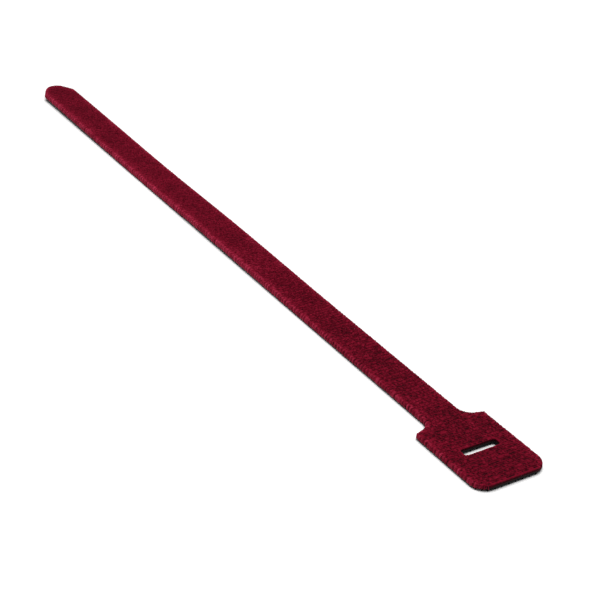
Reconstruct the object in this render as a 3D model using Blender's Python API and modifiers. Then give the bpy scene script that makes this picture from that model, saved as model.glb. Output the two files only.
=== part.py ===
"""Back-to-back hook and loop cable tie, lying as it comes to rest with its loop side up.

Metres, +Z up. The origin is below the middle of the tie, the head points to +X and the tip to -X.
A tie is stamped from two tapes bonded back to back, so both layers here are slabs cut by one die.
"""

import math

import bmesh
import bpy
from mathutils import Matrix, Vector

PARTS = "hook_and_loop_cable_tie"
CUTTERS = "cutters"

# Plan of the die
TIE_LENGTH = 0.3048
STRAP_WIDTH = 0.0127
NOSE_LENGTH = 0.0064
NOSE_RADIUS = 0.0042
HEAD_LENGTH = 0.0303
HEAD_WIDTH = 0.0254
HEAD_CORNER_RADIUS = 0.0050
NECK_FILLET_RADIUS = 0.0046
SHOULDER_SLANT_DEG = 18.0

# The slot that the tip is passed through
SLOT_SIDE_CLEARANCE = 0.0003
SLOT_WIDTH = 0.0032
SLOT_CORNER_RADIUS = 0.0010
SLOT_FROM_HEAD_END = 0.0162

# Hook tape: rows of moulded hooks under a thin film
HOOK_HEIGHT = 0.00065
HOOK_FILM = 0.00035
HOOK_ROW_PITCH = 0.00127
HOOK_ROW_WIDTH = 0.00050

# Loop fabric: a brushed knit with a row of pile across the tie at each pitch
BOND_GAP = 0.0003
LOOP_BACKING = 0.00075
PILE_DEPTH = 0.00025
PILE_ROW_PITCH = 0.00145
PILE_CREST_SHARE = 0.5

# How the strap lies: pressed to the table near the head and once more along its way
MIDDLE_LIFT = 0.0003
MIDDLE_LIFT_FROM = 0.20
MIDDLE_LIFT_TO = 0.60
TIP_LIFT = 0.0005
TIP_LIFT_FULL_AT = 0.85
LIFT_STATIONS = 22

# Drawing
ARC_STEPS = 8
CUT_MARGIN = 0.002
MERGE = 0.000001
ON_PLANE = 0.0000001
SHARP_FROM_DEG = 30.0

# Places that follow from the sizes
HEAD_END_X = TIE_LENGTH / 2
TIP_X = -TIE_LENGTH / 2
SHOULDER_X = HEAD_END_X - HEAD_LENGTH
SLOT_X = HEAD_END_X - SLOT_FROM_HEAD_END
SLOT_LENGTH = STRAP_WIDTH + 2 * SLOT_SIDE_CLEARANCE
TAPE_THICKNESS = HOOK_HEIGHT + HOOK_FILM
FABRIC_BOTTOM = TAPE_THICKNESS + BOND_GAP
PILE_FOOT = FABRIC_BOTTOM + LOOP_BACKING
PILE_TOP = PILE_FOOT + PILE_DEPTH

# Base colour, roughness and sheen of each layer
FABRIC_LOOK = ((0.122, 0.0048, 0.0144, 1.0), 0.95, 0.3)
HOOK_LOOK = ((0.010, 0.010, 0.011, 1.0), 0.45, 0.0)


def clear_scene():
    for item in list(bpy.data.objects):
        bpy.data.objects.remove(item, do_unlink=True)


def new_collection(name):
    collection = bpy.data.collections.get(name) or bpy.data.collections.new(name)
    if name not in bpy.context.scene.collection.children:
        bpy.context.scene.collection.children.link(collection)
    return collection


def material(name, look):
    colour, roughness, sheen = look
    made = bpy.data.materials.new(name)
    made.use_nodes = True
    made.diffuse_color = colour
    shader = made.node_tree.nodes["Principled BSDF"]
    shader.inputs["Base Color"].default_value = colour
    shader.inputs["Roughness"].default_value = roughness
    shader.inputs["Metallic"].default_value = 0.0
    shader.inputs["Sheen Weight"].default_value = sheen
    return made


def arc(centre, radius, start_deg, end_deg):
    """Points along an arc, both ends included. Angles are in degrees from +X."""
    points = []
    for step in range(ARC_STEPS + 1):
        angle = math.radians(start_deg + (end_deg - start_deg) * step / ARC_STEPS)
        points.append((centre[0] + radius * math.cos(angle), centre[1] + radius * math.sin(angle)))
    return points


def half_plan():
    """The +Y half of the tie's edge, from the tip to the middle of the head's end."""
    half_strap = STRAP_WIDTH / 2
    half_head = HEAD_WIDTH / 2
    # the nose is an arc whose tangents run out to the strap's edges
    back = NOSE_LENGTH - NOSE_RADIUS
    reach = math.hypot(back, half_strap)
    touch = math.degrees(math.atan2(half_strap, back) + math.acos(NOSE_RADIUS / reach))
    nose = arc((TIP_X + NOSE_RADIUS, 0.0), NOSE_RADIUS, 180.0, touch)
    cheek = [(TIP_X + NOSE_LENGTH, half_strap)]
    # the shoulder walls slant back to the neck, where the fillet meets them and the strap's edge
    slant = math.radians(SHOULDER_SLANT_DEG)
    neck_y = half_strap + NECK_FILLET_RADIUS
    wall_x = SHOULDER_X - (half_head - neck_y) * math.tan(slant)
    neck_centre = (wall_x - NECK_FILLET_RADIUS / math.cos(slant), neck_y)
    neck = arc(neck_centre, NECK_FILLET_RADIUS, -90.0, -SHOULDER_SLANT_DEG)
    shoulder = [(SHOULDER_X, half_head)]
    corner_centre = (HEAD_END_X - HEAD_CORNER_RADIUS, half_head - HEAD_CORNER_RADIUS)
    corner = arc(corner_centre, HEAD_CORNER_RADIUS, 90.0, 0.0)
    return nose + cheek + neck + shoulder + corner


def tie_plan():
    """The tie's whole edge: the half and its mirror image."""
    upper = half_plan()
    lower = [(x, -y) for x, y in reversed(upper[1:])]
    return upper + lower


def slot_plan():
    """The slot: a narrow opening across the head with rounded corners."""
    x_in = SLOT_WIDTH / 2 - SLOT_CORNER_RADIUS
    y_in = SLOT_LENGTH / 2 - SLOT_CORNER_RADIUS
    points = []
    for start, x_side, y_side in ((0, 1, 1), (90, -1, 1), (180, -1, -1), (270, 1, -1)):
        centre = (SLOT_X + x_side * x_in, y_side * y_in)
        points += arc(centre, SLOT_CORNER_RADIUS, start, start + 90)
    return points


def lift(x):
    """How far the strap is off the table at x: a low hump on the way, and a tip that stays up."""
    along = (SHOULDER_X - x) / (SHOULDER_X - TIP_X)
    hump = min(max((along - MIDDLE_LIFT_FROM) / (MIDDLE_LIFT_TO - MIDDLE_LIFT_FROM), 0.0), 1.0)
    rise = min(max((along - MIDDLE_LIFT_TO) / (TIP_LIFT_FULL_AT - MIDDLE_LIFT_TO), 0.0), 1.0)
    return MIDDLE_LIFT * math.sin(math.pi * hump) ** 2 + TIP_LIFT * rise * rise * (3 - 2 * rise)


def stations():
    """Places along the tie, head first, that are enough to follow its lift."""
    start_x = HEAD_END_X + CUT_MARGIN
    end_x = TIP_X - CUT_MARGIN
    strap = [SHOULDER_X + (end_x - SHOULDER_X) * step / LIFT_STATIONS for step in range(LIFT_STATIONS + 1)]
    return [start_x] + strap


def level_line(height):
    """A line along the tie at one height in its thickness, from the head to the tip."""
    return [(x, height + lift(x)) for x in stations()]


def pile_line():
    """The fabric's upper line, from the tip to the head: a flat crest and a valley at each pitch."""
    rows = math.ceil((TIE_LENGTH + 2 * CUT_MARGIN) / PILE_ROW_PITCH)
    start_x = TIP_X - CUT_MARGIN
    crest = PILE_ROW_PITCH * PILE_CREST_SHARE
    slope = (PILE_ROW_PITCH - crest) / 2
    points = []
    for row in range(rows):
        x = start_x + row * PILE_ROW_PITCH
        points.append((x, PILE_FOOT + lift(x)))
        points.append((x + slope, PILE_TOP + lift(x + slope)))
        points.append((x + slope + crest, PILE_TOP + lift(x + slope + crest)))
    end_x = start_x + rows * PILE_ROW_PITCH
    return points + [(end_x, PILE_FOOT + lift(end_x))]


def extruded(name, loops, half_depth, matrix, collection):
    """A solid whose section is the loops, filled and extruded both ways, as a welded mesh."""
    curve = bpy.data.curves.new(name, "CURVE")
    curve.dimensions = "2D"
    curve.fill_mode = "BOTH"
    curve.extrude = half_depth
    for loop in loops:
        spline = curve.splines.new("POLY")
        spline.points.add(len(loop) - 1)
        for point, (u, v) in zip(spline.points, loop):
            point.co = (u, v, 0.0, 1.0)
        spline.use_cyclic_u = True
    drawn = bpy.data.objects.new(name + "_curve", curve)
    bpy.context.scene.collection.objects.link(drawn)
    drawn.matrix_world = matrix
    bpy.context.view_layer.update()
    evaluated = drawn.evaluated_get(bpy.context.evaluated_depsgraph_get())
    mesh = bpy.data.meshes.new_from_object(evaluated)
    solid = bpy.data.objects.new(name, mesh)
    solid.matrix_world = drawn.matrix_world
    collection.objects.link(solid)
    bpy.data.objects.remove(drawn, do_unlink=True)
    work = bmesh.new()
    work.from_mesh(mesh)
    bmesh.ops.remove_doubles(work, verts=work.verts, dist=MERGE)
    bmesh.ops.recalc_face_normals(work, faces=work.faces)
    work.to_mesh(mesh)
    work.free()
    return solid


def side_view(y=0.0):
    """Stands a drawing up: its second axis becomes height, and it is extruded across the tie."""
    return Matrix.Translation((0.0, y, 0.0)) @ Matrix.Rotation(math.radians(90), 4, "X")


def as_cutter(item):
    item.hide_render = True
    item.display_type = "WIRE"
    return item


def boolean(item, operation, other):
    modifier = item.modifiers.new(operation.lower() + "_" + other.name, "BOOLEAN")
    modifier.operation = operation
    modifier.solver = "EXACT"
    modifier.object = other


def settle(item):
    """Turns the cuts into the item's own mesh and divides it at the stations, so no wall runs the whole tie."""
    evaluated = item.evaluated_get(bpy.context.evaluated_depsgraph_get())
    mesh = bpy.data.meshes.new_from_object(evaluated)
    item.modifiers.clear()
    item.data = mesh
    work = bmesh.new()
    work.from_mesh(mesh)
    to_local = item.matrix_world.inverted()
    for x in stations()[1:-1]:
        everything = work.verts[:] + work.edges[:] + work.faces[:]
        place = to_local @ Vector((x, 0.0, 0.0))
        bmesh.ops.bisect_plane(work, geom=everything, plane_co=place, plane_no=(1.0, 0.0, 0.0), dist=ON_PLANE)
    work.to_mesh(mesh)
    work.free()
    mesh.shade_smooth()
    mesh.set_sharp_from_angle(angle=math.radians(SHARP_FROM_DEG))
    return item


def stamping_die(cutters):
    """The die: the plan with its slot, taller than both layers."""
    height = PILE_TOP + TIP_LIFT + MIDDLE_LIFT + 2 * CUT_MARGIN
    middle = Matrix.Translation((0.0, 0.0, height / 2 - CUT_MARGIN))
    return as_cutter(extruded("stamping_die", [tie_plan(), slot_plan()], height / 2, middle, cutters))


def row_grooves(cutters):
    """The gaps between the rows of hooks, one body for each gap, one of them along the tie's middle."""
    each_side = math.ceil(HEAD_WIDTH / 2 / HOOK_ROW_PITCH)
    gap = HOOK_ROW_PITCH - HOOK_ROW_WIDTH
    below = [(x, -CUT_MARGIN) for x in reversed(stations())]
    section = level_line(HOOK_HEIGHT) + below
    first_y = -each_side * HOOK_ROW_PITCH
    grooves = extruded("row_grooves", [section], gap / 2, side_view(first_y), cutters)
    repeat = grooves.modifiers.new("rows", "ARRAY")
    repeat.use_relative_offset = False
    repeat.use_constant_offset = True
    repeat.constant_offset_displace = (0.0, 0.0, -HOOK_ROW_PITCH)
    repeat.count = 2 * each_side + 1
    return as_cutter(grooves)


def layer_slab(name, section, parts):
    return extruded(name, [section], HEAD_WIDTH / 2 + CUT_MARGIN, side_view(), parts)


def hook_tape(parts, cutters, die):
    """Black tape: a thin film with straight rows of hooks under it."""
    section = level_line(TAPE_THICKNESS) + level_line(0.0)[::-1]
    tape = layer_slab("hook_tape", section, parts)
    boolean(tape, "DIFFERENCE", row_grooves(cutters))
    boolean(tape, "INTERSECT", die)
    tape.data.materials.append(material("black_moulded_hooks", HOOK_LOOK))
    return settle(tape)


def loop_fabric(parts, die):
    """Burgundy fabric: a backing with rows of pile across it."""
    section = pile_line() + level_line(FABRIC_BOTTOM)
    fabric = layer_slab("loop_fabric", section, parts)
    boolean(fabric, "INTERSECT", die)
    fabric.data.materials.append(material("burgundy_loop_fabric", FABRIC_LOOK))
    return settle(fabric)


def main():
    clear_scene()
    parts = new_collection(PARTS)
    cutters = new_collection(CUTTERS)
    die = stamping_die(cutters)
    hook_tape(parts, cutters, die)
    loop_fabric(parts, die)


main()
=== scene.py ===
"""Dresses the hook and loop cable tie: burgundy loop fabric on top, black moulded hooks underneath.

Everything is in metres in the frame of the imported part. The tie lies along X with its slotted head at +X,
and the table is at z = 0.
"""

import math
import random

import bmesh
import bpy
import numpy as np
from bpy.props import FloatProperty, FloatVectorProperty, IntProperty, PointerProperty
from mathutils import Matrix, Vector, noise


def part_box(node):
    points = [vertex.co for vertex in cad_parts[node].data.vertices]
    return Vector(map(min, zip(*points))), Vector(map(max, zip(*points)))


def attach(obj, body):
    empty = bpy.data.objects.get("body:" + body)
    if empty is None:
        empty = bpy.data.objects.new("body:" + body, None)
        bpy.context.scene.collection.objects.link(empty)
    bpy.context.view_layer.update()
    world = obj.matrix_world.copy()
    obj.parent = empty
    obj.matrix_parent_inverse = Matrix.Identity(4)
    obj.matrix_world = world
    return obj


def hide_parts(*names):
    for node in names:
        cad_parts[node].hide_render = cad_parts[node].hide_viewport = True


bl_info = {
    "name": "Hook and loop cable tie",
    "version": (1, 0, 0),
    "blender": (4, 5, 0),
    "location": "View3D > Sidebar > Cable Tie",
    "description": "Makes the fabric, pile, film and hooks of a flat hook and loop cable tie",
    "category": "Object",
}

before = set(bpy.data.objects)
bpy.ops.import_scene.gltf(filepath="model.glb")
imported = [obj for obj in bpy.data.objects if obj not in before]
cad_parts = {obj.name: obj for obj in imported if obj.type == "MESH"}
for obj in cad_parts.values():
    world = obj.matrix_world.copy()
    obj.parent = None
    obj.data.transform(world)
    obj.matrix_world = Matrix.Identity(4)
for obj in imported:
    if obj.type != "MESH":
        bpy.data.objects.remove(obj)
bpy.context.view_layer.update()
TAPE_LOW, TAPE_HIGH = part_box("hook_tape")

ARC_STEPS = 20
NEAR = 0.00001
PILE_PIECES = ("pile_tip", "pile_strap", "pile_neck", "pile_head")
WHITE = (1.0, 1.0, 1.0, 1.0)
SENSOR_WIDTH = 36.0
CLIP_START = 0.01
TABLE_CELLS = 8

# Where the rows of pile start to be brushed out, and where that is complete, from the head's end.
BRUSHED_FROM = 0.05
BRUSHED_FULLY = 0.20

# Each unevenness of the cloth: the width of its features, and the slice of the noise that it is read from.
GRAINS = {
    "waver": (0.0022, 1.7),
    "knit": (0.0005, 9.1),
    "strokes": (0.0005, 3.3),
    "swell": (0.0008, 5.5),
    "lip": (0.0008, 7.7),
}
KNIT_ROUGHNESS = 0.35
# The strokes break the painted highlight beside the cuts into streaks.
STROKE_ROUGHNESS = 1.7
STROKE_LENGTH = 3
EDGE_ROUGHNESS = 0.3

# The holes in the valleys between the rows, sunk and given painted shade. Each row reads its own line of the
# noise.
HOLE_MEAN = 0.55
HOLE_SWING = 1.9
HOLE_ROW_STEP = 3.7
HOLE_SLICE = 4.2
ROW_FULLNESS = 0.4

# Pairs of a number and what is added to it: by how high the pile is, how frayed the cut is, or how far the
# rows are brushed out.
STROKES_BY_CREST = (0.7, 0.5)
SWELL_BY_CREST = (1.0, 0.15)
LIP_BY_CREST = (0.75, 0.25)
DROP_BY_FRAYING = (0.3, 0.7)
SWELL_BY_FRAYING = (0.2, 0.8)
# The rim pairs scale the painted highlight beside the cuts.
CLOTH_RIM_HIGHLIGHT_BY_BRUSHING = (0.6, 0.35)
PILE_RIM_HIGHLIGHT_BY_BRUSHING = (0.6, 0.6)

# How much the slot's side nearest the head's end swells, and where the edge starts to swell more towards the
# tip, from x = 0.
SLOT_SWELL = 1.6
TIP_SWELL_FROM = 0.142
TIP_SWELL_FULLY = 0.150

# The rings of the cloth's cut edge: how far down each is, how far out, how far it hangs, and how shaded.
EDGE_RINGS = (
    (0.30, 0.75, 0.0, 0.4),
    (0.65, 1.0, 0.3, 0.8),
    (1.0, 0.9, 1.0, 1.0),
    (1.0, 0.3, 0.8, 1.0),
    (1.0, 0.0, 0.0, 1.0),
)

# The loops of pile: their section and arch, and the least and the most of the steps between them and of their
# size. They are smaller beside a cut.
PILE_SIDES = 3
ARCH_STEPS = 4
PILE_STEPS = (0.6, 1.4)
PILE_GROWTH = (0.75, 1.3)
GROWTH_BY_GAP = (0.5, 0.5)

# How the loops lie at the head, and what brushing adds. The spread is a share of the row pitch, the heading
# is in degrees, and the turn and the lean are in radians.
PILE_SPREAD = (0.08, 0.34)
PILE_HEADING = (90, -115)
PILE_TURN = (0.15, 0.6)
PILE_LEAN = (0.35, 0.3)

# The loops over the cut edge: how they are pulled to their row, how far they stray, and how flat they lie.
EDGE_PULL = 0.25
EDGE_PULL_POWER = 8
EDGE_SLANT = 0.00015
EDGE_TOP_DROP = 0.00030
EDGE_SET_BACK = 0.0003
EDGE_REACH = (-0.4, 1.0)
EDGE_STAND_OFF = 0.6
EDGE_FLATNESS = 0.25
EDGE_TILT = 0.5

# A hook's proportions, as shares of its crook's radius, its stem's length and its stem's thickness.
STEM_THICKNESS = 0.75
WAIST_DEPTH = 0.5
WAIST_THICKNESS = 1.3
CROOK_TURN = math.radians(-165)
CROOK_STEPS = 4
HOOK_POINT = (0.5, 0.8, 1.0)
HOOK_LENGTHS = (0.95, 1.05)
HOOK_WIDTHS = (0.92, 1.08)
FILM_SHARP_ANGLE = math.radians(40)
HOOK_SHARP_ANGLE = math.radians(50)

# Spans of the yarn's patches and flecks, in metres, and the strength of the flecks.
YARN_SPANS = {"Patch size": 0.006, "Fleck size": 0.0006}
YARN_FLECKS = 0.6

# Textures of the materials: how detailed a noise is, its cells to the metre, and the range that it mostly
# fills. Then what that range becomes.
FINE_DETAIL = 3.0
COARSE_DETAIL = 2.0
KNIT_CELLS = 5000.0
PLASTIC_CELLS = 2500.0
SCUFF_CELLS = 900.0
TABLE_CLOUDS = 40.0
NOISE_RANGE = (0.3, 0.7)
PLASTIC_TONES = (0.8, 1.5)
PLASTIC_ROUGHNESS = (0.38, 0.55)
TABLE_TONES = (0.90, 0.92)

FABRIC_FINISH = {
    "Roughness": 0.9,
    "Specular IOR Level": 0.03,
    "Sheen Weight": 0.12,
    "Sheen Roughness": 0.45,
    "Sheen Tint": (1.0, 0.14, 0.22, 1.0),
}
PLASTIC_FINISH = {"Specular IOR Level": 0.05}
TABLE_FINISH = {"Roughness": 0.6, "Specular IOR Level": 0.1}


def size(name, description, default):
    """A length that can be set."""
    return FloatProperty(name=name, description=description, default=default, precision=5, unit="LENGTH")


def share(name, description, default):
    """A number from 0 to 1 that can be set."""
    return FloatProperty(
        name=name, description=description, default=default, min=0.0, max=1.0, subtype="FACTOR"
    )


def colour(name, description, default):
    """A colour that can be set."""
    return FloatVectorProperty(name=name, description=description, default=default, subtype="COLOR")


def place(name, description, default):
    """A position that can be set."""
    return FloatVectorProperty(
        name=name, description=description, default=default, subtype="XYZ", unit="LENGTH"
    )


def angle(name, description, degrees):
    """An angle that can be set."""
    return FloatProperty(name=name, description=description, default=math.radians(degrees), subtype="ANGLE")


class DieCut(bpy.types.PropertyGroup):
    """The outline that both tapes are stamped to, and how the tie lies."""

    tip_x: size("Tip", "Where the tie's tip ends along X", TAPE_LOW.x)
    head_end_x: size("Head end", "Where the head ends along X", TAPE_HIGH.x)
    head_width: size("Head width", "Width of the head", TAPE_HIGH.y - TAPE_LOW.y)
    head_length: size("Head length", "From the shoulders to the head's end", 0.0303)
    head_corner: size("Head corner", "Radius of the head's end corners", 0.0050)
    strap_width: size("Strap width", "Width of the strap", 0.0127)
    neck_fillet: size("Neck fillet", "Radius between strap and shoulders", 0.0046)
    shoulder_slant: angle("Shoulder slant", "How far the shoulders lean back towards the strap", 18.0)
    nose_length: size("Nose length", "Length of the narrowing tip", 0.0064)
    nose_radius: size("Nose radius", "Radius of the tip", 0.0042)
    slot_from_end: size("Slot place", "From the head's end to the slot's middle", 0.0162)
    slot_length: size("Slot length", "Length of the slot across the head", 0.0133)
    slot_width: size("Slot width", "Width of the slot along the tie", 0.0032)
    slot_corner: size("Slot corner", "Radius of the slot's corners", 0.0010)
    middle_lift: size("Middle lift", "Height of the low hump in the strap", 0.00047)
    tip_lift: size("Tip lift", "How far the tip stays off the table", 0.0009)
    hump_start: share("Hump start", "Where the hump starts, from the shoulders to the tip", 0.25)
    hump_end: share("Hump end", "Where the hump ends, from the shoulders to the tip", 0.72)
    rise_start: share("Rise start", "Where the tip starts to rise, from the shoulders to the tip", 0.62)


class LoopSide(bpy.types.PropertyGroup):
    """The fabric's layers, its rows of pile and its fibres."""

    bottom: size("Cloth bottom", "Height of the cloth's underside", 0.00130)
    pile_foot: size("Pile foot", "Height of the valleys between the rows", 0.00205)
    pile_top: size("Pile top", "Height of the rows' crests", 0.0023)
    row_pitch: size("Row pitch", "Distance between rows of pile along the tie", 0.00145)
    row_start: size("Row start", "How far before the tip the first valley lies", 0.002)
    row_waver: size("Row waver", "How far a row strays from its line", 0.00022)
    stitch: size("Stitch", "Length of one stitch across the tie", 0.00060)
    brushed_rows: share("Brushed rows", "How much fainter the rows are at the tip", 0.7)
    matted: share("Matted", "How much darker the brushed pile is at the tip", 0.05)
    middle_sheen: share("Middle sheen", "How much lighter the pile is where the rows start to go", 0.09)
    grid: size("Cloth grid", "Cell size of the cloth's mesh", 0.000245)
    edge_round: size("Edge round", "How far in from the cut the cloth rolls down", 0.0005)
    edge_drop: size("Edge drop", "How far the cloth rolls down at the cut", 0.00020)
    edge_swell: size("Edge swell", "How far the cut edge swells over the tape", 0.00018)
    tip_swell: size("Tip swell", "How much more the cut edge swells at the tip", 0.00040)
    edge_lip: size("Edge lip", "How far the swollen edge hangs over the tape", 0.00074)
    brushed_lip: size("Brushed lip", "How much further the edge hangs where it is brushed", 0.00035)
    # Within this width of a cut the pile gets painted highlight, and its loops are smaller.
    rim_width: size("Rim width", "How far in from the cut the pile is lighter", 0.0014)
    fibre_radius: size("Fibre radius", "Radius of one bundle of pile", 0.000045)
    loop_span: size("Loop span", "Distance between the feet of one loop", 0.0007)
    loop_height: size("Loop height", "Height of one loop", 0.0003)
    loop_gap: size("Loop gap", "Distance between loops across the tie", 0.00050)
    edge_gap: size("Edge gap", "Distance between loops along the cut edge", 0.00017)
    layers: IntProperty(name="Layers", description="How many times each row of loops is laid", default=3)
    seed: IntProperty(name="Seed", description="Seed for the scatter of loops", default=11)


class HookSide(bpy.types.PropertyGroup):
    """The moulded film and its hooks."""

    film_bottom: size("Film bottom", "Height of the film's underside", 0.00065)
    film_top: size("Film top", "Height of the film's upper side, with its bond to the cloth", 0.00128)
    grid: size("Film grid", "Cell size of the film's mesh", 0.0006)
    row_pitch: size("Hook row pitch", "Distance between rows of hooks across the tie", 0.00127)
    hook_pitch: size("Hook pitch", "Distance between hooks along a row", 0.00095)
    hook_width: size("Hook width", "Width of one hook across its row", 0.0005)
    root_length: size("Root length", "Length of a hook's root along its row", 0.0007)
    crook_radius: size("Crook radius", "Radius of a hook's crook to its middle", 0.00015)
    margin: size("Hook margin", "Distance from the last hook's root in a row to the cut", 0.00005)
    seed: IntProperty(name="Seed", description="Seed for the small differences between hooks", default=7)


class Finishes(bpy.types.PropertyGroup):
    """Colours of the cloth and the plastic."""

    # The deep tone is painted shade in the valleys, the holes and the cut walls, and also the yarn's dark
    # patches.
    deep: colour("Deep burgundy", "Colour down between the rows", (0.012, 0.0012, 0.0024))
    burgundy: colour("Burgundy", "Main colour of the pile", (0.160, 0.0032, 0.0150))
    # The light tone is painted highlight on the crests and beside the cuts, and also the yarn's light flecks.
    light: colour("Light burgundy", "Colour of raised fibres and the cut edge", (0.46, 0.034, 0.080))
    black: colour("Black", "Colour of the moulded hooks", (0.0030, 0.0029, 0.0030))


class Studio(bpy.types.PropertyGroup):
    """Camera, table and lights."""

    azimuth: angle("Azimuth", "Where the camera stands around the tie", 54.75)
    elevation: angle("Elevation", "How high the camera looks down from", 30.43)
    roll: angle("Roll", "How far the camera is turned about its view", 4.55)
    distance: size("Distance", "From the camera to what it looks at", 0.533)
    target: place("Target", "What the camera looks at", (0.03863, 0.00044, 0.0))
    lens: FloatProperty(name="Lens", description="Focal length in mm", default=95.05, unit="CAMERA")
    table_size: size("Table size", "Half the width of the table", 3.0)
    fill: share("Fill", "Strength of the even white surroundings", 0.22)
    key: FloatProperty(name="Key", description="Strength of the large soft light, in W/m2", default=3.4)
    key_spread: angle("Key spread", "How wide the large soft light looks from the tie", 48.0)
    key_place: place("Key place", "Where the large soft light stands", (-0.09, 0.03, 1.0))


def arc(centre, radius, start_deg, end_deg):
    """Points along an arc, both ends included. Angles are in degrees from +X."""
    turns = [math.radians(start_deg + (end_deg - start_deg) * k / ARC_STEPS) for k in range(ARC_STEPS + 1)]
    return [(centre[0] + radius * math.cos(turn), centre[1] + radius * math.sin(turn)) for turn in turns]


def die_outline(cut):
    """The tie's cut edge, counter-clockwise from the middle of the head's end."""
    half_strap = cut.strap_width / 2
    half_head = cut.head_width / 2
    shoulder_x = cut.head_end_x - cut.head_length
    back = cut.nose_length - cut.nose_radius
    towards_cheek = math.atan2(half_strap, back)
    touch = math.degrees(towards_cheek + math.acos(cut.nose_radius / math.hypot(back, half_strap)))
    nose = arc((cut.tip_x + cut.nose_radius, 0.0), cut.nose_radius, 180.0, touch)
    cheek = [(cut.tip_x + cut.nose_length, half_strap)]
    neck_y = half_strap + cut.neck_fillet
    wall_x = shoulder_x - (half_head - neck_y) * math.tan(cut.shoulder_slant)
    neck_centre = (wall_x - cut.neck_fillet / math.cos(cut.shoulder_slant), neck_y)
    neck = arc(neck_centre, cut.neck_fillet, -90.0, -math.degrees(cut.shoulder_slant))
    shoulder = [(shoulder_x, half_head)]
    corner = arc((cut.head_end_x - cut.head_corner, half_head - cut.head_corner), cut.head_corner, 90.0, 0.0)
    upper = nose + cheek + neck + shoulder + corner
    lower = [(x, -y) for x, y in reversed(upper[1:])]
    return (upper + lower)[::-1]


def slot_middle(cut):
    """Where the slot's middle lies along X."""
    return cut.head_end_x - cut.slot_from_end


def slot_outline(cut):
    """The slot's cut edge, clockwise, so that the material is on its left as on the outer edge."""
    x_in = cut.slot_width / 2 - cut.slot_corner
    y_in = cut.slot_length / 2 - cut.slot_corner
    points = []
    for start, x_side, y_side in ((0, 1, 1), (90, -1, 1), (180, -1, -1), (270, 1, -1)):
        points += arc((slot_middle(cut) + x_side * x_in, y_side * y_in), cut.slot_corner, start, start + 90)
    return points[::-1]


def cut_edges(cut):
    """Every straight piece of the two cut edges, as rows of x, y at its start and x, y at its end."""
    rows = []
    for loop in (die_outline(cut), slot_outline(cut)):
        rows += [(*start, *end) for start, end in zip(loop, loop[1:] + loop[:1]) if start != end]
    return np.array(rows)


def inside(edges, points):
    """Which plan points lie on material."""
    x, y = points.T
    crossed = np.zeros(len(points), bool)
    for ax, ay, bx, by in edges:
        if ay != by:
            crossed ^= ((ay > y) != (by > y)) & (x < (bx - ax) * (y - ay) / (by - ay) + ax)
    return crossed


def nearest_cut(edges, points):
    """How far plan points are from the cut edge, the nearest places on it, and the way out there."""
    far = np.full(len(points), np.inf)
    feet = np.zeros_like(points)
    out = np.zeros_like(points)
    for ax, ay, bx, by in edges:
        start = np.array((ax, ay))
        run = np.array((bx - ax, by - ay))
        along = np.clip((points - start) @ run / (run @ run), 0, 1)
        foot = start + along[:, None] * run
        gap = np.linalg.norm(points - foot, axis=1)
        closer = gap < far
        far[closer] = gap[closer]
        feet[closer] = foot[closer]
        out[closer] = np.array((run[1], -run[0])) / np.linalg.norm(run)
    return far, feet, out


def frayed_at(cut, foot, out):
    """How brushed out the cut edge is: 1 along the strap and the tip, 0 in the slot and at the head's end."""
    in_slot = abs(foot[0] - slot_middle(cut)) < cut.slot_width and abs(foot[1]) < cut.slot_length / 2 + NEAR
    return 0.0 if in_slot else math.sqrt(max(1.0 - max(out[0], 0.0) ** 2, 0.0))


def flat_area(cut):
    """The area of the tie's plan without its slot."""
    return sum((ax * by - bx * ay) / 2 for ax, ay, bx, by in cut_edges(cut))


def smooth_step(value, low, high):
    """0 up to low, 1 from high on, and a smooth rise between them."""
    t = min(max((value - low) / (high - low), 0.0), 1.0)
    return t * t * (3 - 2 * t)


def make_lift(cut):
    """A function of x for how far the strap is off the table: a low hump, and a tip that stays up."""
    shoulder_x = cut.head_end_x - cut.head_length

    def lift(x):
        way = (shoulder_x - x) / (shoulder_x - cut.tip_x)
        hump = min(max((way - cut.hump_start) / (cut.hump_end - cut.hump_start), 0.0), 1.0)
        rise = smooth_step(way, cut.rise_start, 1.0)
        return cut.middle_lift * math.sin(math.pi * hump) ** 2 + cut.tip_lift * rise

    return lift


def lines(stops, step):
    """Positions about a step apart that include every stop."""
    places = [stops[0]]
    for start, end in zip(stops, stops[1:]):
        cells = max(round((end - start) / step), 1)
        places += [start + (end - start) * k / cells for k in range(1, cells + 1)]
    return places


def stamped_sheet(cut, step):
    """A flat mesh of square cells in the shape of the tie's plan, as a bmesh."""
    half_strap, half_slot, half_head = cut.strap_width / 2, cut.slot_length / 2, cut.head_width / 2
    slot = [slot_middle(cut) - cut.slot_width / 2, slot_middle(cut) + cut.slot_width / 2]
    xs = lines([cut.tip_x, cut.head_end_x - cut.head_length, *slot, cut.head_end_x], step)
    side = [half_strap, half_slot, half_head]
    ys = lines([-y for y in side[::-1]] + side, step)
    work = bmesh.new()
    middle = Matrix.Translation((0.5, 0.5, 0.0))
    bmesh.ops.create_grid(work, x_segments=len(xs) - 1, y_segments=len(ys) - 1, size=0.5, matrix=middle)
    for vert in work.verts:
        vert.co = (xs[round(vert.co.x * (len(xs) - 1))], ys[round(vert.co.y * (len(ys) - 1))], 0.0)
    edges = cut_edges(cut)
    centres = np.array([face.calc_center_median()[:2] for face in work.faces])
    waste = [face for face, keep in zip(work.faces, inside(edges, centres)) if not keep]
    bmesh.ops.delete(work, geom=waste, context="FACES")
    rim = [vert for vert in work.verts if vert.is_boundary]
    feet = nearest_cut(edges, np.array([vert.co[:2] for vert in rim]))[1]
    for vert, (x, y) in zip(rim, feet):
        vert.co = (x, y, 0.0)
    return work


def only(kind, made):
    """The vertices, edges or faces among what an operator made."""
    return [item for item in made if isinstance(item, kind)]


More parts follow.
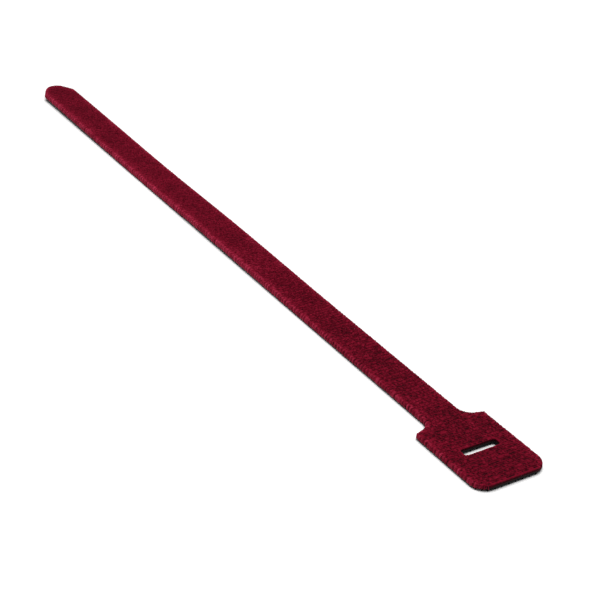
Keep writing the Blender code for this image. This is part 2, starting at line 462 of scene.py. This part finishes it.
def finished(work, name, material):
    """A piece from a bmesh: riding on the tie, with its material and slot."""
    mesh = bpy.data.meshes.new(name)
    work.to_mesh(mesh)
    work.free()
    mesh.shade_smooth()
    mesh.materials.append(material)
    piece = bpy.data.objects.new(name, mesh)
    bpy.context.scene.collection.objects.link(piece)
    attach(piece, "root")
    return piece


def changed(pair, amount):
    """The first number of a pair, plus the second times an amount."""
    return pair[0] + pair[1] * amount


def fibre_noise(x, y, grain):
    """Smooth noise from -1 to 1, with features as wide as the grain says."""
    span, seen_at = GRAINS[grain]
    return noise.noise(Vector((x / span, y / span, seen_at)))


def brushing_at(cut, x):
    """How far the brushing has gone at x: from 0 at the head to 1 at the tip."""
    return smooth_step(cut.head_end_x - x, BRUSHED_FROM, BRUSHED_FULLY)


def brushed_at(cut, loops, x):
    """How far the rows are brushed out at x: not at the head, most at the tip."""
    return loops.brushed_rows * brushing_at(cut, x)


def first_valley(cut, loops):
    """Where the first valley between rows lies, beyond the tip."""
    return cut.tip_x - loops.row_start


def rows_at(cut, loops, x, y):
    """How high in its row a place is, and how full the pile is there, both from 0 to 1."""
    strayed = x - first_valley(cut, loops) + loops.row_waver * fibre_noise(x, y, "waver")
    phase = strayed / loops.row_pitch
    crest = 0.5 - 0.5 * math.cos(2 * math.pi * phase)
    spot = Vector((round(phase) * HOLE_ROW_STEP, y / loops.stitch, HOLE_SLICE))
    hole = min(max(HOLE_MEAN + HOLE_SWING * noise.noise(spot), 0.0), 1.0)
    return crest, 1.0 - (1.0 - brushed_at(cut, loops, x)) * (1.0 - crest ** ROW_FULLNESS) * hole


def tone_at(cut, loops, x, filled):
    """How light the pile is: painted shade in the valleys and holes, darker where matted at the tip, and a
    painted sheen where the rows start to go.
    """
    sheen = loops.middle_sheen * math.sin(math.pi * brushing_at(cut, x)) ** 2
    return filled - loops.matted * brushed_at(cut, loops, x) + sheen


def rim_highlight_at(cut, loops, x, y, gap, crest, frayed):
    """How much painted highlight, standing for the sheen on the stray fibres, lightens the cloth beside a
    cut.
    """
    strokes = changed(STROKES_BY_CREST, crest)
    strokes *= 1.0 + STROKE_ROUGHNESS * fibre_noise(x, y / STROKE_LENGTH, "strokes")
    near = frayed * math.exp(-gap / loops.rim_width)
    return near * strokes * changed(CLOTH_RIM_HIGHLIGHT_BY_BRUSHING, brushed_at(cut, loops, x))


def height_at(loops, x, y, gap, filled, frayed):
    """How high the cloth's upper side is, before the strap's lift: it rolls down at a cut."""
    relief = filled + KNIT_ROUGHNESS * fibre_noise(x, y, "knit")
    roll = (1.0 - min(gap / loops.edge_round, 1.0)) ** 2
    height = loops.pile_foot + (loops.pile_top - loops.pile_foot) * relief
    return height - loops.edge_drop * roll * changed(DROP_BY_FRAYING, frayed)


def swell_at(loops, x, y, crest, frayed, out):
    """How far the cut edge beside a place bulges out."""
    swell = loops.edge_swell * max(changed(SWELL_BY_FRAYING, frayed), -SLOT_SWELL * out[0])
    swell += loops.tip_swell * smooth_step(-x, TIP_SWELL_FROM, TIP_SWELL_FULLY)
    return swell * (changed(SWELL_BY_CREST, crest - 0.5) + EDGE_ROUGHNESS * fibre_noise(x, y, "swell"))


def lip_at(cut, loops, x, y, crest, frayed):
    """How far the cut edge beside a place hangs down over the tape."""
    lip = loops.edge_lip + loops.brushed_lip * brushed_at(cut, loops, x)
    return lip * (changed(LIP_BY_CREST, crest) + EDGE_ROUGHNESS * fibre_noise(x, y, "lip")) * frayed


def build_cloth(cut, loops, finishes):
    """The fabric's body: rows of pile across the tie, and a swollen cut edge that hangs over the tape."""
    lift = make_lift(cut)
    work = stamped_sheet(cut, loops.grid)
    # The cloth's tone, with painted shade in the valleys and holes between the rows, and a painted sheen.
    tone_and_valley_shade_layer = work.verts.layers.float.new("crest")
    # Painted highlight on the cloth beside the frayed cuts.
    rim_highlight_layer = work.verts.layers.float.new("rim")
    # Painted shade for the cloth's cut walls, darkest in the slot and at the head's end.
    painted_wall_shade_layer = work.verts.layers.float.new("painted_wall_shade")
    way_layer = work.verts.layers.float_vector.new("way")
    lip_layer = work.verts.layers.float_vector.new("lip")
    nearest = nearest_cut(cut_edges(cut), np.array([vert.co[:2] for vert in work.verts]))
    for vert, gap, foot, out in zip(work.verts, *nearest):
        x, y = vert.co.x, vert.co.y
        crest, filled = rows_at(cut, loops, x, y)
        frayed = frayed_at(cut, foot, out)
        vert[tone_and_valley_shade_layer] = tone_at(cut, loops, x, filled)
        vert[rim_highlight_layer] = rim_highlight_at(cut, loops, x, y, gap, crest, frayed)
        vert.co.z = height_at(loops, x, y, gap, filled, frayed) + lift(x)
        swell = swell_at(loops, x, y, crest, frayed, out)
        vert[way_layer] = (out[0] * swell, out[1] * swell, vert.co.z)
        # The lip layer holds how far the edge hangs, then its share of painted wall shade, which is 1 where
        # the cut is not frayed.
        vert[lip_layer] = (lip_at(cut, loops, x, y, crest, frayed), 1.0 - frayed, 0.0)
    rim_edges = [edge for edge in work.edges if edge.is_boundary]
    before = 0.0
    for down, bulge, hang, shaded in EDGE_RINGS:
        made = bmesh.ops.extrude_edge_only(work, edges=rim_edges)["geom"]
        rim_edges = [edge for edge in only(bmesh.types.BMEdge, made) if edge.is_boundary]
        for vert in only(bmesh.types.BMVert, made):
            way, lip = vert[way_layer], vert[lip_layer]
            vert.co += Vector((way.x, way.y, 0.0)) * (bulge - before)
            vert.co.z = way.z + (loops.bottom + lift(vert.co.x) - way.z) * down - lip.x * hang
            # Painted shade on the rings of the cut wall, in the slot and at the head's end.
            vert[painted_wall_shade_layer] = lip.y * shaded
        before = bulge
    vectors = work.verts.layers.float_vector
    for name in ("way", "lip"):
        vectors.remove(vectors[name])
    bmesh.ops.triangle_fill(work, edges=rim_edges, use_beauty=True)
    bmesh.ops.recalc_face_normals(work, faces=work.faces)
    piece = finished(work, "loop_cloth", cloth_material(finishes))
    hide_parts("loop_fabric")
    return piece


def loop_template(loops):
    """One arch of pile, standing on z = 0 along X."""
    work = bmesh.new()
    foot = Matrix.Translation((loops.loop_span / 2, 0.0, 0.0))
    bmesh.ops.create_circle(work, segments=PILE_SIDES, radius=loops.fibre_radius, matrix=foot)
    bmesh.ops.spin(work, geom=work.edges[:], cent=(0, 0, 0), axis=(0, 1, 0), angle=-math.pi, steps=ARCH_STEPS)
    bmesh.ops.scale(work, verts=work.verts, vec=(1.0, 1.0, 2 * loops.loop_height / loops.loop_span))
    bmesh.ops.holes_fill(work, edges=work.edges[:], sides=PILE_SIDES)
    bmesh.ops.recalc_face_normals(work, faces=work.faces)
    mesh = bpy.data.meshes.new("loop_template")
    work.to_mesh(mesh)
    work.free()
    return mesh


def scattered(template, copies):
    """A bmesh with a copy of the template at each place. Each of copies is a place and its attributes."""
    count = len(template.vertices)
    rest = np.empty(count * 3, np.float32)
    template.vertices.foreach_get("co", rest)
    for name in copies[0][1]:
        template.attributes.new(name, "FLOAT", "POINT")
    work = bmesh.new()
    for where, numbers in copies:
        template.transform(where)
        for name, value in numbers.items():
            template.attributes[name].data.foreach_set("value", np.full(count, value, np.float32))
        work.from_mesh(template)
        template.vertices.foreach_set("co", rest)
    bpy.data.meshes.remove(template)
    return work


def turned(origin, span_way, bulge_way):
    """A place whose X runs along span_way and whose Z points to the side of bulge_way."""
    along = span_way.normalized()
    across = bulge_way.cross(along).normalized()
    turn = Matrix((along, across, along.cross(across))).transposed().to_4x4()
    return Matrix.Translation(origin) @ turn


def surface_loops(cut, loops, dice):
    """The loops on the rows of pile: where each is along the tie, its place and its numbers."""
    lift = make_lift(cut)
    edges = cut_edges(cut)
    half = cut.head_width / 2
    valley = first_valley(cut, loops)
    spots = []
    for row in range(math.ceil((cut.head_end_x - valley) / loops.row_pitch)):
        middle = valley + (row + 0.5) * loops.row_pitch
        spread = changed(PILE_SPREAD, brushed_at(cut, loops, middle)) * loops.row_pitch
        for _ in range(loops.layers):
            y = -half + dice.random() * loops.loop_gap
            while y < half:
                spots.append((middle + dice.gauss(0.0, spread), y))
                y += loops.loop_gap * dice.uniform(*PILE_STEPS)
    spots = np.array(spots)
    far, feet, outs = nearest_cut(edges, spots)
    keep = inside(edges, spots) & (far > loops.loop_height)
    made = []
    for (x, y), gap, foot, out in zip(spots[keep], far[keep], feet[keep], outs[keep]):
        brushed = brushed_at(cut, loops, x)
        heading = math.radians(changed(PILE_HEADING, brushed)) + dice.gauss(0.0, changed(PILE_TURN, brushed))
        lean = dice.gauss(0.0, changed(PILE_LEAN, brushed))
        along = Vector((math.cos(heading), math.sin(heading), 0.0))
        aside = math.sin(lean)
        rise = Vector((-math.sin(heading) * aside, math.cos(heading) * aside, math.cos(lean)))
        height = (loops.pile_foot + loops.pile_top) / 2 + lift(x)
        grown = dice.uniform(*PILE_GROWTH) * changed(GROWTH_BY_GAP, smooth_step(gap, 0.0, loops.rim_width))
        where = turned(Vector((x, y, height)), along, rise) @ Matrix.Scale(grown, 4)
        # The rim number is painted highlight on loops near a frayed cut.
        near = frayed_at(cut, foot, out) * math.exp(-gap / loops.rim_width)
        rim = near * changed(PILE_RIM_HIGHLIGHT_BY_BRUSHING, brushed)
        made.append((x, where, {"crest": dice.random(), "rim": rim}))
    return made


def edge_loops(cut, loops, dice):
    """The loops that hang over the cut edges, bunched at the rows of pile."""
    lift = make_lift(cut)
    first_crest = first_valley(cut, loops) + loops.row_pitch / 2
    made = []
    for ax, ay, bx, by in cut_edges(cut):
        run = Vector((bx - ax, by - ay, 0.0))
        out = Vector((run.y, -run.x, 0.0)).normalized()
        frayed = frayed_at(cut, ((ax + bx) / 2, (ay + by) / 2), out)
        for _ in range(int(frayed * run.length / loops.edge_gap + dice.random())):
            spot = Vector((ax, ay, 0.0)) + run * dice.random()
            crest = first_crest + round((spot.x - first_crest) / loops.row_pitch) * loops.row_pitch
            spot.x += EDGE_PULL * (crest - spot.x) * abs(out.y) ** EDGE_PULL_POWER
            slant = run.normalized() * dice.gauss(0.0, EDGE_SLANT)
            top = loops.pile_top - dice.uniform(0.0, EDGE_TOP_DROP)
            low = loops.bottom - loops.edge_lip * dice.uniform(*EDGE_REACH)
            upper = spot - out * dice.uniform(0.0, EDGE_SET_BACK) + Vector((0, 0, top)) + slant
            lower = spot + out * loops.edge_swell * EDGE_STAND_OFF + Vector((0, 0, low)) - slant
            span = lower - upper
            middle = (upper + lower) / 2 + Vector((0, 0, lift(spot.x)))
            flat = Matrix.Diagonal((1.0, 1.0, EDGE_FLATNESS, 1.0))
            grown = Matrix.Scale(span.length / loops.loop_span, 4) @ flat
            where = turned(middle, span, out + Vector((0, 0, EDGE_TILT))) @ grown
            # Painted highlight on the loops that hang over the cut edge.
            rim = changed(PILE_RIM_HIGHLIGHT_BY_BRUSHING, brushed_at(cut, loops, spot.x))
            made.append((spot.x, where, {"crest": dice.random(), "rim": rim}))
    return made


def build_pile(cut, loops, finishes):
    """Four pieces of pile, from the tip to the head, each with the loops of one stretch of the tie."""
    dice = random.Random(loops.seed)
    made = surface_loops(cut, loops, dice) + edge_loops(cut, loops, dice)
    made.sort(key=lambda item: item[0])
    material = pile_material(finishes)
    stops = [round(len(made) * part / len(PILE_PIECES)) for part in range(len(PILE_PIECES) + 1)]
    pieces = []
    for name, start, end in zip(PILE_PIECES, stops, stops[1:]):
        work = scattered(loop_template(loops), [item[1:] for item in made[start:end]])
        pieces.append(finished(work, name, material))
    return pieces


def build_film(cut, hooks, finishes):
    """The moulded film that carries the hooks."""
    lift = make_lift(cut)
    work = stamped_sheet(cut, hooks.grid)
    for vert in work.verts:
        vert.co.z = hooks.film_top + lift(vert.co.x)
    made = bmesh.ops.extrude_face_region(work, geom=work.faces[:])["geom"]
    thickness = hooks.film_top - hooks.film_bottom
    bmesh.ops.translate(work, vec=(0, 0, -thickness), verts=only(bmesh.types.BMVert, made))
    bmesh.ops.recalc_face_normals(work, faces=work.faces)
    piece = finished(work, "hook_film", plastic_material(finishes))
    piece.data.set_sharp_from_angle(angle=FILM_SHARP_ANGLE)
    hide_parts("hook_tape")
    return piece


def hook_template(hooks):
    """One hook hanging from z = 0: a root that narrows to a stem, and a crook at its end."""
    radius = hooks.crook_radius
    stem = radius * STEM_THICKNESS
    drop = hooks.film_bottom - radius - stem / 2
    work = bmesh.new()
    root = Matrix.Diagonal((hooks.root_length / 2, hooks.hook_width / 2, 1, 1))
    foot = Matrix.Translation((0, 0, NEAR)) @ root
    bmesh.ops.create_grid(work, x_segments=1, y_segments=1, size=1.0, matrix=foot)
    end = work.faces[:]
    for depth, thickness in ((WAIST_DEPTH, stem * WAIST_THICKNESS), (1.0, stem)):
        made = bmesh.ops.extrude_face_region(work, geom=end)["geom"]
        end = only(bmesh.types.BMFace, made)
        for vert in only(bmesh.types.BMVert, made):
            vert.co.x = math.copysign(thickness / 2, vert.co.x)
            vert.co.z = -drop * depth
    centre = (radius, 0, -drop)
    spun = bmesh.ops.spin(work, geom=end, cent=centre, axis=(0, 1, 0), angle=CROOK_TURN, steps=CROOK_STEPS)
    point = Matrix.Translation((-2 * radius, 0, drop))
    bmesh.ops.scale(work, verts=only(bmesh.types.BMVert, spun["geom_last"]), vec=HOOK_POINT, space=point)
    bmesh.ops.recalc_face_normals(work, faces=work.faces)
    mesh = bpy.data.meshes.new("hook_template")
    work.to_mesh(mesh)
    work.free()
    return mesh


def row_spans(cut, y):
    """Where a row along the tie at y lies on material, as pairs of x."""
    steep = [edge for edge in cut_edges(cut) if (edge[1] > y) != (edge[3] > y)]
    crossed = sorted(ax + (y - ay) * (bx - ax) / (by - ay) for ax, ay, bx, by in steep)
    return zip(crossed[::2], crossed[1::2])


def build_hooks(cut, hooks, finishes):
    """Rows of small moulded hooks along the tie. Every other row faces the other way."""
    lift = make_lift(cut)
    dice = random.Random(hooks.seed)
    half_rows = int((cut.head_width / 2 - hooks.hook_width) / hooks.row_pitch + 0.5)
    inset = hooks.root_length / 2 + hooks.margin
    copies = []
    for row in range(-half_rows, half_rows):
        y = (row + 0.5) * hooks.row_pitch
        turn = Matrix.Rotation(math.pi * (row % 2), 4, "Z")
        for low, high in row_spans(cut, y):
            gaps = round((high - low - 2 * inset) / hooks.hook_pitch)
            for index in range(gaps + 1):
                x = low + inset + (high - low - 2 * inset) * index / gaps
                grown = Matrix.Diagonal((dice.uniform(*HOOK_LENGTHS), dice.uniform(*HOOK_WIDTHS), 1.0, 1.0))
                copies.append((Matrix.Translation((x, y, hooks.film_bottom + lift(x))) @ turn @ grown, {}))
    work = scattered(hook_template(hooks), copies)
    piece = finished(work, "moulded_hooks", plastic_material(finishes))
    piece.data.set_sharp_from_angle(angle=HOOK_SHARP_ANGLE)
    return piece


def node(tree, kind, inputs=None, **settings):
    """A shader node with its settings, and each input linked or set."""
    made = tree.nodes.new(kind)
    for name, value in settings.items():
        setattr(made, name, value)
    for socket, value in (inputs or {}).items():
        if isinstance(value, bpy.types.NodeSocket):
            tree.links.new(value, made.inputs[socket])
        else:
            made.inputs[socket].default_value = value
    return made


def calculate(tree, operation, *values):
    """One step of arithmetic on numbers or sockets."""
    return node(tree, "ShaderNodeMath", dict(enumerate(values)), operation=operation).outputs[0]


def times_plus(tree, value, factor, added):
    """A value times a factor, plus what is added."""
    return calculate(tree, "MULTIPLY_ADD", value, factor, added)


def ranged(tree, value, low, high, new_low, new_high):
    """A value taken from one range to another, and kept within it."""
    return node(tree, "ShaderNodeMapRange", {0: value, 1: low, 2: high, 3: new_low, 4: new_high}).outputs[0]


def blended(tree, factor, first, second):
    """A mix of two colours. The sockets are counted, because the node has several of each name."""
    return node(tree, "ShaderNodeMix", {0: factor, 6: first, 7: second}, data_type="RGBA").outputs[2]


def noise_of(tree, vector, scale, detail=COARSE_DETAIL):
    """Noise about 0 to 1. The vector is in metres, and scale is in cells to the metre."""
    made = node(tree, "ShaderNodeTexNoise", {"Vector": vector, "Scale": scale, "Detail": detail})
    return made.outputs["Fac"]


def yarn_tone_and_painted_light_group():
    """Yarn colour that drifts in patches and flecks between a deep, a main and a light tone, moved also by
    the painted shade and highlight that come in with the Lightness.
    """
    tree = bpy.data.node_groups.new("yarn_tone_and_painted_light", "ShaderNodeTree")
    sockets = {"Vector": "Vector", "Deep": "Color", "Main": "Color", "Light": "Color"}
    sockets |= {name: "Float" for name in ("Lightness", "Patches", "Flecks", "Patch size", "Fleck size")}
    for name, kind in sockets.items():
        tree.interface.new_socket(name, in_out="INPUT", socket_type="NodeSocket" + kind)
    tree.interface.new_socket("Colour", in_out="OUTPUT", socket_type="NodeSocketColor")
    given = tree.nodes.new("NodeGroupInput").outputs
    drift = given["Lightness"]
    drifts = (("Patches", "Patch size", COARSE_DETAIL), ("Flecks", "Fleck size", FINE_DETAIL))
    for amount, span, detail in drifts:
        cells = calculate(tree, "DIVIDE", 1.0, given[span])
        swing = calculate(tree, "SUBTRACT", noise_of(tree, given["Vector"], cells, detail), 0.5)
        drift = times_plus(tree, swing, given[amount], drift)
    shade = blended(tree, ranged(tree, drift, 0.0, 0.5, 0.0, 1.0), given["Deep"], given["Main"])
    tone = blended(tree, ranged(tree, drift, 0.5, 1.0, 0.0, 1.0), shade, given["Light"])
    node(tree, "NodeGroupOutput", {"Colour": tone})
    return tree


def surface(name, finish):
    """A new material with its constant values: its tree, its shader and its Object coordinates."""
    material = bpy.data.materials.new(name)
    material.use_nodes = True
    tree = material.node_tree
    shader = tree.nodes["Principled BSDF"]
    for socket, value in finish.items():
        shader.inputs[socket].default_value = value
    return material, tree, shader, tree.nodes.new("ShaderNodeTexCoord").outputs["Object"]


def attribute(tree, name):
    """A number that the mesh holds at each point."""
    return node(tree, "ShaderNodeAttribute", attribute_name=name).outputs["Fac"]


def bumped(tree, shader, height, strength, distance):
    """Fine relief on a shader."""
    bump = node(tree, "ShaderNodeBump", {"Height": height, "Strength": strength, "Distance": distance})
    tree.links.new(bump.outputs[0], shader.inputs["Normal"])


def fabric(name, finishes, weights, base, patches):
    """A burgundy fabric material. Its tone is the base plus each attribute times its weight; the attributes
    hold the yarn's own tone, painted shade and painted highlight.
    """
    material, tree, shader, where = surface(name, FABRIC_FINISH)
    lightness = base
    for layer, weight in weights.items():
        lightness = times_plus(tree, attribute(tree, layer), weight, lightness)
    yarn = bpy.data.node_groups.get("yarn_tone_and_painted_light") or yarn_tone_and_painted_light_group()
    tones = {"Deep": finishes.deep, "Main": finishes.burgundy, "Light": finishes.light}
    tones = {socket: (*tone, 1.0) for socket, tone in tones.items()}
    amounts = {"Lightness": lightness, "Patches": patches, "Flecks": YARN_FLECKS}
    yarn_and_painted_light = node(tree, "ShaderNodeGroup", {"Vector": where, **tones, **YARN_SPANS, **amounts}, node_tree=yarn)
    tree.links.new(yarn_and_painted_light.outputs["Colour"], shader.inputs["Base Color"])
    return material, tree, shader, where


def cloth_material(finishes):
    """The cloth: lighter on its rows' crests, with painted highlight beside the cuts, painted shade in its
    valleys and holes, and painted shade on the cut walls in the slot and at the head's end.
    """
    # Weights: crest holds the tone with painted shade in the valleys and holes, rim a painted highlight
    # beside the cuts, and the third a painted shade on the cut walls.
    weights = {"crest": 0.66, "rim": 0.30, "painted_wall_shade": -0.75}
    material, tree, shader, where = fabric("burgundy_knit", finishes, weights, base=-0.22, patches=0.30)
    bumped(tree, shader, noise_of(tree, where, KNIT_CELLS, FINE_DETAIL), strength=0.6, distance=0.00015)
    return material


def pile_material(finishes):
    """The pile: each loop has a tone of its own, with painted highlight beside the cuts."""
    return fabric("burgundy_pile", finishes, {"crest": 0.42, "rim": 0.42}, base=0.15, patches=0.25)[0]


def plastic_material(finishes):
    """The black plastic of the film and its hooks, made once."""
    if "black_plastic" in bpy.data.materials:
        return bpy.data.materials["black_plastic"]
    material, tree, shader, where = surface("black_plastic", PLASTIC_FINISH)
    grain = noise_of(tree, where, PLASTIC_CELLS, FINE_DETAIL)
    tone = ranged(tree, grain, *NOISE_RANGE, *PLASTIC_TONES)
    shade = node(tree, "ShaderNodeVectorMath", {0: tuple(finishes.black), 3: tone}, operation="SCALE")
    tree.links.new(shade.outputs[0], shader.inputs["Base Color"])
    scuffs = ranged(tree, noise_of(tree, where, SCUFF_CELLS), *NOISE_RANGE, *PLASTIC_ROUGHNESS)
    tree.links.new(scuffs, shader.inputs["Roughness"])
    bumped(tree, shader, grain, strength=0.25, distance=0.00005)
    return material


def table_material():
    """A plain white surface with the faintest clouds."""
    material, tree, shader, where = surface("white_table", TABLE_FINISH)
    tone = ranged(tree, noise_of(tree, where, TABLE_CLOUDS), 0.0, 1.0, *TABLE_TONES)
    tree.links.new(tone, shader.inputs["Base Color"])
    return material


def build_table(studio):
    """The table that the tie lies on."""
    work = bmesh.new()
    bmesh.ops.create_grid(work, x_segments=TABLE_CELLS, y_segments=TABLE_CELLS, size=studio.table_size)
    mesh = bpy.data.meshes.new("table")
    work.to_mesh(mesh)
    work.free()
    mesh.materials.append(table_material())
    table = bpy.data.objects.new("table", mesh)
    bpy.context.scene.collection.objects.link(table)


def build_lights(studio):
    """White surroundings that light the tie weakly, and a large soft light high above it."""
    scene = bpy.context.scene
    scene.world = bpy.data.worlds.new("white_surroundings")
    scene.world.use_nodes = True
    tree = scene.world.node_tree
    seen = node(tree, "ShaderNodeLightPath").outputs["Is Camera Ray"]
    sky = tree.nodes["Background"]
    sky.inputs["Color"].default_value = WHITE
    tree.links.new(ranged(tree, seen, 0.0, 1.0, studio.fill, 1.0), sky.inputs["Strength"])
    lamp = bpy.data.lights.new("key", "SUN")
    lamp.angle = studio.key_spread
    lamp.energy = studio.key
    key = bpy.data.objects.new("key", lamp)
    key.location = studio.key_place
    key.rotation_euler = (-Vector(studio.key_place)).to_track_quat("-Z", "Y").to_euler()
    scene.collection.objects.link(key)


def build_camera(studio):
    """The camera, at the angle that the tie is seen from."""
    scene = bpy.context.scene
    lens = bpy.data.cameras.new("camera")
    lens.lens = studio.lens
    lens.sensor_width = SENSOR_WIDTH
    lens.clip_start = CLIP_START
    turn = Matrix.Rotation(studio.azimuth, 4, "Z") @ Matrix.Rotation(math.pi / 2 - studio.elevation, 4, "X")
    back = Matrix.Translation((0, 0, studio.distance)) @ Matrix.Rotation(studio.roll, 4, "Z")
    camera = bpy.data.objects.new("camera", lens)
    camera.matrix_world = Matrix.Translation(studio.target) @ turn @ back
    scene.collection.objects.link(camera)
    scene.camera = camera
    scene.view_settings.view_transform = "Standard"


class CABLETIE_OT_studio(bpy.types.Operator):
    """Set up the table, lights and camera"""

    bl_idname = "cable_tie.studio"
    bl_label = "Studio"

    def execute(self, context):
        build_table(context.scene.tie_studio)
        build_lights(context.scene.tie_studio)
        build_camera(context.scene.tie_studio)
        return {"FINISHED"}


class CABLETIE_OT_hook_film(bpy.types.Operator):
    """Make the black film"""

    bl_idname = "cable_tie.hook_film"
    bl_label = "Hook film"

    def execute(self, context):
        build_film(context.scene.tie_cut, context.scene.tie_hooks, context.scene.tie_finishes)
        return {"FINISHED"}


class CABLETIE_OT_moulded_hooks(bpy.types.Operator):
    """Make the rows of moulded hooks under the film"""

    bl_idname = "cable_tie.moulded_hooks"
    bl_label = "Moulded hooks"

    def execute(self, context):
        build_hooks(context.scene.tie_cut, context.scene.tie_hooks, context.scene.tie_finishes)
        return {"FINISHED"}


class CABLETIE_OT_loop_cloth(bpy.types.Operator):
    """Make the burgundy cloth"""

    bl_idname = "cable_tie.loop_cloth"
    bl_label = "Loop cloth"

    def execute(self, context):
        build_cloth(context.scene.tie_cut, context.scene.tie_loops, context.scene.tie_finishes)
        return {"FINISHED"}


class CABLETIE_OT_pile(bpy.types.Operator):
    """Lay the pile on the cloth, and work out the area of the tie's plan"""

    bl_idname = "cable_tie.pile"
    bl_label = "Pile"

    def execute(self, context):
        cut = context.scene.tie_cut
        pile = build_pile(cut, context.scene.tie_loops, context.scene.tie_finishes)
        flat_area(cut)
        return {"FINISHED"}


class CABLETIE_PT_panel(bpy.types.Panel):
    """Lists the tie's pieces and their sizes"""

    bl_label = "Hook and loop tie"
    bl_idname = "CABLETIE_PT_panel"
    bl_space_type = "VIEW_3D"
    bl_region_type = "UI"
    bl_category = "Cable Tie"

    def draw(self, context):
        for group_name in PROPERTY_GROUPS:
            box = self.layout.box()
            values = getattr(context.scene, group_name)
            for name in values.__annotations__:
                box.prop(values, name)
        for operator in OPERATORS:
            self.layout.operator(operator.bl_idname)


PROPERTY_GROUPS = {
    "tie_cut": DieCut,
    "tie_loops": LoopSide,
    "tie_hooks": HookSide,
    "tie_finishes": Finishes,
    "tie_studio": Studio,
}
OPERATORS = (
    CABLETIE_OT_studio,
    CABLETIE_OT_hook_film,
    CABLETIE_OT_moulded_hooks,
    CABLETIE_OT_loop_cloth,
    CABLETIE_OT_pile,
)
CLASSES = (*PROPERTY_GROUPS.values(), *OPERATORS, CABLETIE_PT_panel)


def register():
    """Adds the classes, and the settings to the scene."""
    for item in CLASSES:
        bpy.utils.register_class(item)
    for name, item in PROPERTY_GROUPS.items():
        setattr(bpy.types.Scene, name, PointerProperty(type=item))


def unregister():
    """Takes the settings and the classes away again."""
    for name in PROPERTY_GROUPS:
        delattr(bpy.types.Scene, name)
    for item in reversed(CLASSES):
        bpy.utils.unregister_class(item)


def main():
    """Registers the classes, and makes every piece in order."""
    register()
    bpy.ops.cable_tie.studio()
    bpy.ops.cable_tie.hook_film()
    bpy.ops.cable_tie.moulded_hooks()
    bpy.ops.cable_tie.loop_cloth()
    bpy.ops.cable_tie.pile()


if __name__ == "__main__":
    main()
